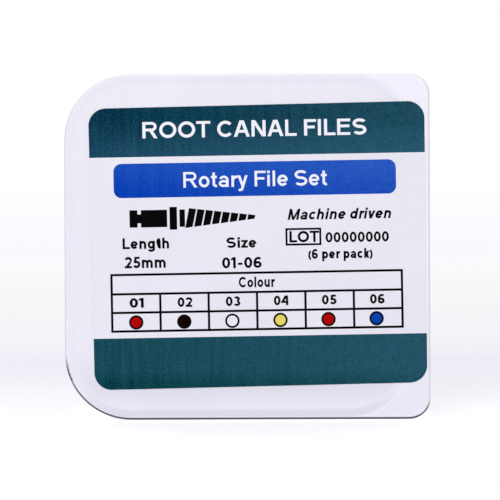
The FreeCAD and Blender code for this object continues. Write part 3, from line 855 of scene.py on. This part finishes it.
FLUTE_LENGTH = 16 * MM
RUN_OUT = 2 * MM
POINT_LENGTH = 0.45 * MM
FLUTE_RADIUS = 0.575 * MM
TIP_RADII = (0.095 * MM, 0.09 * MM, 0.1 * MM, 0.1 * MM, 0.125 * MM, 0.15 * MM)
TIP_PITCH = 1.8 * MM
SHAFT_PITCH = 4 * MM
EDGES = 3
FLUTE_DEPTH = 0.36
CHAMFER = 0.1 * MM
CHAMFER_SHARE = 0.9
BLUNT_SHARE = 0.04
AROUND = 30
RINGS = 220


def blade_ring(centre, height, radius, twist, depth):
    """One ring of a blade: a circle with three hollow flanks between its cutting edges."""
    points = []
    for index in range(AROUND):
        angle = 2 * math.pi * index / AROUND
        reach = radius * (1 - depth * abs(math.sin(EDGES * angle / 2)))
        x, y = reach * math.cos(angle + twist), reach * math.sin(angle + twist)
        points.append((centre.x + x, centre.y + y, height))
    return points


def make_blade(number):
    """A wire shaft whose end is ground into a tapered, twisted blade with a bullet point."""
    node = f"file_{number}_blade"
    low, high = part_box(node)
    centre = (low + high) / 2
    shaft_radius = (high.x - low.x) / 2
    tip_radius = TIP_RADII[number - 1]
    growth = (SHAFT_PITCH - TIP_PITCH) / FLUTE_LENGTH
    neck = high.z - FLUTE_LENGTH
    vertices = blade_ring(centre, low.z, shaft_radius * CHAMFER_SHARE, 0, 0)
    vertices += blade_ring(centre, low.z + CHAMFER, shaft_radius, 0, 0)
    for index in range(RINGS + 1):
        height = neck + FLUTE_LENGTH * index / RINGS
        from_tip = high.z - height
        taper = tip_radius + (FLUTE_RADIUS - tip_radius) * from_tip / FLUTE_LENGTH
        run_out = min(1, (height - neck) / RUN_OUT)
        radius = shaft_radius + (taper - shaft_radius) * run_out
        if from_tip < POINT_LENGTH:
            radius *= max(BLUNT_SHARE, math.sin(math.pi / 2 * from_tip / POINT_LENGTH))
        twist = -2 * math.pi / growth * math.log(1 + growth * from_tip / TIP_PITCH)
        vertices += blade_ring(centre, height, radius, twist, FLUTE_DEPTH * run_out)
    faces = [list(reversed(range(AROUND)))]
    for start in range(0, len(vertices) - AROUND, AROUND):
        for index in range(AROUND):
            near, far = start + index, start + (index + 1) % AROUND
            faces.append([near, far, far + AROUND, near + AROUND])
    faces.append(list(range(len(vertices) - AROUND, len(vertices))))
    blade = new_mesh(f"blade_{number}", vertices, faces, blade_metal, f"file_{number}", "nickel_titanium")
    for polygon in blade.data.polygons:
        polygon.use_smooth = True
    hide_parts(node)


for number in range(1, FILE_COUNT + 1):
    make_blade(number)

make_label_paper()
make_bands()
make_table()
make_dots()
make_words()
printed("lot_frame", frame_bars(*LOT_BOX, LOT_BOX_LINE), black_ink)
make_pictogram()

# CAD nodes that stay, with their finished materials
paint("case_lid", case_lid_plastic)
paint("case_base", case_base_plastic)
paint("file_rack", rack_white)
for number, colour in enumerate(CODE_COLOURS, start=1):
    paint(f"file_{number}_shank", brass_metal)
    paint(f"file_{number}_ring", lacquer(f"ring_enamel_{number}", colour))
    paint(f"file_{number}_stop", stop_rubber)


# Floor, light and camera


FLOOR_HALF = 4.0
SHADE_DEPTH = 0.13
GLOW_REACH = 0.07


def make_floor():
    """A white floor with painted shade that turns it pale lavender behind the object.

    Painted light makes it shine a little round the object's foot and under its round corners, washing out
    the contact shadow there, and faintly far behind.
    """
    mesh = bpy.data.meshes.new("floor")
    size = FLOOR_HALF
    corners = [(-size, -size, 0), (size, -size, 0), (size, size, 0), (-size, size, 0)]
    mesh.from_pydata(corners, [], [(0, 1, 2, 3)])
    floor = bpy.data.objects.new("floor", mesh)
    bpy.context.scene.collection.objects.link(floor)
    s = Shader("floor_with_painted_light")
    depth = s.axis(1)
    # painted shade: pale lavender behind the object, fading with distance
    shade = s.ramp(depth, -0.05, SHADE_DEPTH, 0.0, 1.0, "SMOOTHSTEP")
    fade = s.math("DIVIDE", SHADE_DEPTH, s.math("MAXIMUM", depth, SHADE_DEPTH))
    shade = s.math("MULTIPLY", shade, fade)
    tone = s.mix(shade, (0.98, 0.98, 0.985, 1), srgb(238, 237, 246))
    beside = s.math("SUBTRACT", s.math("ABSOLUTE", s.axis(0)), BASE_HIGH.x)
    beside = s.math("MAXIMUM", beside, 0.0)
    before = s.math("SUBTRACT", depth, PLATE_FRONT)
    squares = s.math("ADD", s.math("POWER", beside, 2.0), s.math("POWER", before, 2.0))
    # painted light behind the object, stronger on the right than on the left
    behind = s.ramp(s.axis(0), -0.05, 0.05, 0.035, 0.11)
    peak = s.ramp(depth, PLATE_FRONT - 3 * MM, PLATE_FRONT + 3 * MM, 0.17, behind)
    # painted light round the object's foot
    painted_glow = s.ramp(s.math("SQRT", squares), 0.0, GLOW_REACH, peak, 0.0)
    # painted light under the round corners, to wash out the contact shadow
    under = s.ramp(beside, 0.0, 2 * MM, 0.27, 0.0)
    under = s.math("MULTIPLY", under, s.ramp(depth, PLATE_FRONT - 2 * MM, PLATE_FRONT))
    under = s.math("MULTIPLY", under, s.ramp(depth, BASE_HIGH.y, BASE_HIGH.y + 15 * MM, 1.0, 0.0))
    painted_glow = s.math("ADD", painted_glow, under)
    # painted light, faint, far behind the object
    painted_glow = s.math("ADD", painted_glow, s.ramp(depth, 0.2, 1.5, 0.0, 0.045))
    s.fill(
        s.surface,
        {
            "Base Color": tone,
            "Roughness": 0.9,
            "Specular IOR Level": 0.0,
            "Emission Color": (1, 1, 1, 1),
            "Emission Strength": painted_glow,
        },
    )
    mesh.materials.append(s.material)


def make_world():
    """A white studio: a backdrop that tints at the horizon, a bright ceiling and a flag at each side."""
    world = bpy.data.worlds.new("studio")
    bpy.context.scene.world = world
    world.use_nodes = True
    s = Nodes(world.node_tree, "Generated")
    height = s.axis(2)
    haze = s.ramp(s.math("ABSOLUTE", height), 0.0, 0.055, 1.0, 0.0, "SMOOTHSTEP")
    backdrop = s.mix(haze, (1.0, 1.0, 1.0, 1), srgb(250, 249, 255))
    ceiling = s.ramp(height, -0.3, 0.8, 0.74, 1.03)
    flags = s.ramp(s.math("ABSOLUTE", s.axis(0)), 0.7, 0.92, 1.0, 0.4, "SMOOTHSTEP")
    room = s.math("MULTIPLY", ceiling, flags)
    room = s.node("ShaderNodeCombineColor", {"Red": room, "Green": room, "Blue": room}).outputs[0]
    tone = s.mix(s.ramp(s.axis(1), 0.6, 0.85, 0.0, 1.0, "SMOOTHSTEP"), room, backdrop)
    s.fill(world.node_tree.nodes["Background"], {"Color": tone, "Strength": 1.0})


def make_light(name, place, size, power, target):
    data = bpy.data.lights.new(name, "AREA")
    data.shape = "DISK"
    data.size = size
    data.energy = power
    lamp = bpy.data.objects.new(name, data)
    lamp.location = place
    lamp.rotation_euler = (Vector(target) - Vector(place)).to_track_quat("-Z", "Y").to_euler()
    bpy.context.scene.collection.objects.link(lamp)


CAMERA_LENS = 90
WIDTH_SEEN = 101.1 * MM
CAMERA_AIM = Vector((0.55 * MM, PLATE_FRONT, 34.3 * MM))
CAMERA_ROLL = math.radians(0.2)


def make_camera():
    data = bpy.data.cameras.new("camera")
    data.lens = CAMERA_LENS
    data.sensor_width = 36
    data.clip_start = 0.01
    camera = bpy.data.objects.new("camera", data)
    distance = WIDTH_SEEN * data.lens / data.sensor_width
    camera.location = CAMERA_AIM - Vector((0, distance, 0))
    camera.rotation_euler = (math.radians(90), CAMERA_ROLL, 0)
    bpy.context.scene.collection.objects.link(camera)
    bpy.context.scene.camera = camera


make_floor()
make_world()
make_light("key", (-0.25, -0.45, 0.5), 0.5, 0.8, (0, 0, 0.03))
make_camera()
bpy.context.scene.view_settings.view_transform = "Standard"
